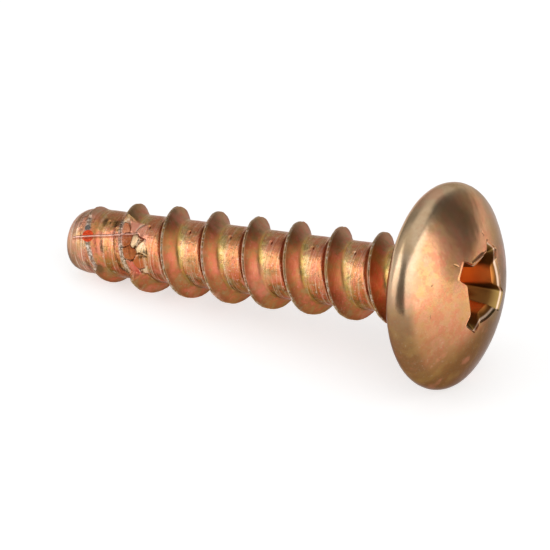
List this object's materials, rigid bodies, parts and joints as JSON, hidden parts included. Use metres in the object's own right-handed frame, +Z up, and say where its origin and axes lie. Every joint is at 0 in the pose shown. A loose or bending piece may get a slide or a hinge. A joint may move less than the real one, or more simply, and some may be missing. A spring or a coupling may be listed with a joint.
{
  "type": "pan head thread-forming screw",
  "caption": "Pan head screw with a punched cross recess, a coarse right-hand thread and a blunt rounded tip with a cut flat, lying on its side.",
  "frame": {"origin": "under the middle of the screw's length and width, on the surface that it lies on", "axes": "+X from the tip to the head along the surface, +Z up; the screw's own axis rises by 9.3 degrees towards the head"},
  "size_m": [0.0252, 0.0108, 0.0107],
  "materials": {
    "plated_steel": "satin yellow chromate over zinc, in copper, rose and olive tones"
  },
  "bodies": {
    "root": {"screw": "plated_steel"}
  },
  "joints": []
}
